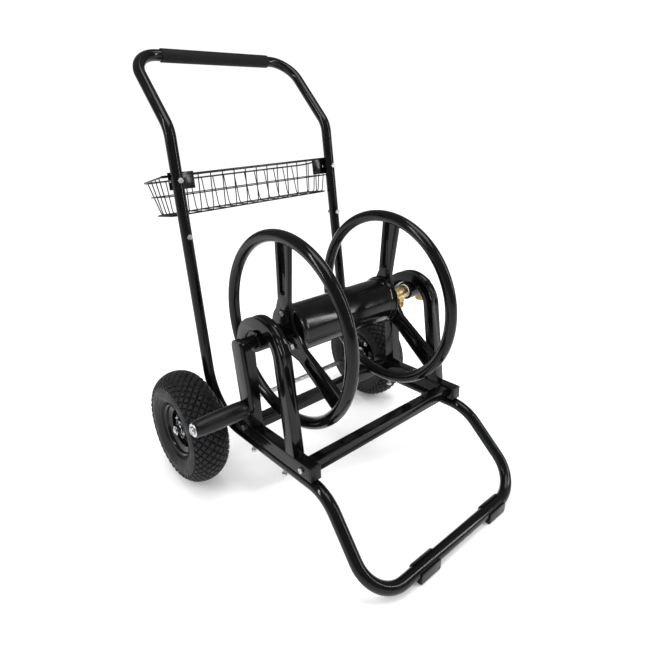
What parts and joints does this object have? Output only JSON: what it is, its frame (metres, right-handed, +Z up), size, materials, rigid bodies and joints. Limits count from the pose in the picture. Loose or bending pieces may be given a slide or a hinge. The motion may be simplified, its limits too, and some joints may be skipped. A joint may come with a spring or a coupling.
{
  "type": "garden hose reel cart",
  "caption": "Wheeled cart of bent black tube that carries a hand-cranked hose reel, with a tool basket, a front rest loop and brass water fittings.",
  "frame": {"origin": "on the floor, below the middle of the whole cart's outline", "axes": "+Z up; +Y towards the handle and the user; +X towards the water inlet, with the crank at -X"},
  "size_m": [0.7186, 0.833, 0.9382],
  "materials": {
    "black_enamel": "glossy black powder coat",
    "tyre_rubber": "matt black rubber",
    "grip_foam": "matt black foam rubber",
    "black_plastic": "fine-grained black plastic",
    "white_plastic": "off-white nylon",
    "zinc_plate": "bright zinc plate",
    "brass": "machined brass"
  },
  "bodies": {
    "frame": {"upper_handle": "black_enamel", "handle_grip_sleeve": "grip_foam", "front_loop": "black_enamel", "axle_rod": "zinc_plate", "wire_basket": "black_enamel", "front_cross_member": "black_enamel", "rear_cross_member": "black_enamel", "inlet_side_stand_screw": "black_plastic", "crank_side_upright": "black_enamel", "crank_side_splice_bolt": "zinc_plate", "crank_side_foot": "black_plastic", "crank_side_rail": "black_enamel", "crank_side_rail_cap": "black_plastic", "crank_side_front_rail_bolt": "zinc_plate", "crank_side_rear_rail_bolt": "zinc_plate", "crank_side_front_cross_bolt": "zinc_plate", "crank_side_rear_cross_bolt": "zinc_plate", "crank_side_stand": "black_enamel", "crank_side_bearing_liner": "black_plastic", "crank_side_axle_bracket": "black_enamel", "crank_side_axle_nut": "zinc_plate", "crank_side_basket_bracket": "black_enamel", "crank_side_basket_bolt": "zinc_plate", "inlet_side_upright": "black_enamel", "inlet_side_splice_bolt": "zinc_plate", "inlet_side_foot": "black_plastic", "inlet_side_rail": "black_enamel", "inlet_side_rail_cap": "black_plastic", "inlet_side_front_rail_bolt": "zinc_plate", "inlet_side_rear_rail_bolt": "zinc_plate", "inlet_side_front_cross_bolt": "zinc_plate", "inlet_side_rear_cross_bolt": "zinc_plate", "inlet_side_stand": "black_enamel", "inlet_side_bearing_liner": "black_plastic", "inlet_side_axle_bracket": "black_enamel", "inlet_side_axle_nut": "zinc_plate", "inlet_side_basket_bracket": "black_enamel", "inlet_side_basket_bolt": "zinc_plate"},
    "reel": {"drum": "black_enamel", "crank_side_disc": "black_enamel", "inlet_side_disc": "black_enamel", "reel_shaft": "black_enamel", "reel_tie_bolt_1": "zinc_plate", "reel_tie_bolt_2": "zinc_plate", "reel_tie_bolt_3": "zinc_plate", "crank_arm": "black_enamel", "crank_grip_bolt": "zinc_plate", "crank_grip_washer": "zinc_plate", "outlet_elbow": "brass", "thrust_washer": "white_plastic"},
    "crank_grip": {"crank_grip": "black_plastic"},
    "crank_side_wheel": {"crank_side_tyre": "tyre_rubber", "crank_side_wheel_rim": "black_enamel", "crank_side_wheel_bush": "zinc_plate"},
    "inlet_side_wheel": {"inlet_side_tyre": "tyre_rubber", "inlet_side_wheel_rim": "black_enamel", "inlet_side_wheel_bush": "zinc_plate"},
    "inlet_swivel": {"inlet_swivel": "brass"},
    "inlet_coupling_nut": {"inlet_coupling_nut": "brass"}
  },
  "joints": [
    {"name": "reel_spin", "type": "hinge", "parent": "frame", "child": "reel", "pos_m": [0.00795, -0.07089, 0.4028], "axis": [1, 0, 0], "continuous": true},
    {"name": "crank_grip_spin", "type": "hinge", "parent": "reel", "child": "crank_grip", "pos_m": [-0.24635, -0.09276, 0.28481], "axis": [1, 0, 0], "continuous": true},
    {"name": "crank_side_wheel_spin", "type": "hinge", "parent": "frame", "child": "crank_side_wheel", "pos_m": [-0.25765, 0.14051, 0.13], "axis": [1, 0, 0], "continuous": true},
    {"name": "inlet_side_wheel_spin", "type": "hinge", "parent": "frame", "child": "inlet_side_wheel", "pos_m": [0.31635, 0.14051, 0.13], "axis": [1, 0, 0], "continuous": true},
    {"name": "inlet_swivel_turn", "type": "hinge", "parent": "frame", "child": "inlet_swivel", "pos_m": [0.29095, -0.07089, 0.4028], "axis": [1, 0, 0], "continuous": true},
    {"name": "coupling_nut_spin", "type": "hinge", "parent": "inlet_swivel", "child": "inlet_coupling_nut", "pos_m": [0.29095, -0.07089, 0.383], "axis": [0, 0, 1], "continuous": true}
  ]
}
